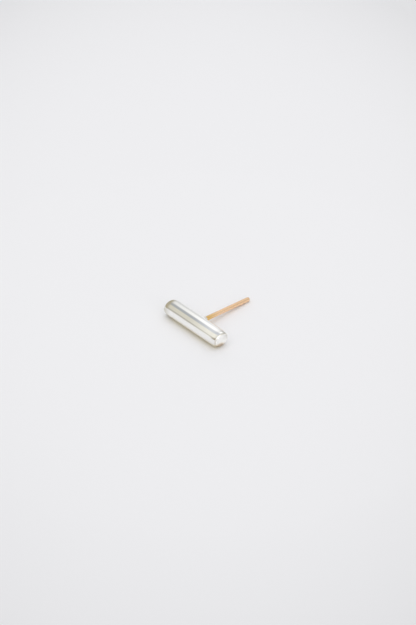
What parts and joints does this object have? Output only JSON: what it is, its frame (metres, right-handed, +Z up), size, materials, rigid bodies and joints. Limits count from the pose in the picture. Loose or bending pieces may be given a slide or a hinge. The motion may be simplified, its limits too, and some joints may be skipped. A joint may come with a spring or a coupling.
{
  "type": "bar stud earring",
  "caption": "Bar stud earring: a short round polished bar with softly rounded ends and a straight ear post that stands from the middle of its back.",
  "frame": {"origin": "middle of the bottom of the earring's box, on the surface it rests on", "axes": "+X along the bar, +Y from the bar towards the tip of the post, +Z up from the surface"},
  "size_m": [0.0136, 0.0144, 0.0032],
  "materials": {
    "silver": "polished silver with fine handling scratches",
    "gold_filled": "bright drawn wire, gold filled"
  },
  "bodies": {
    "root": {"bar": "silver", "post": "gold_filled"}
  },
  "joints": []
}
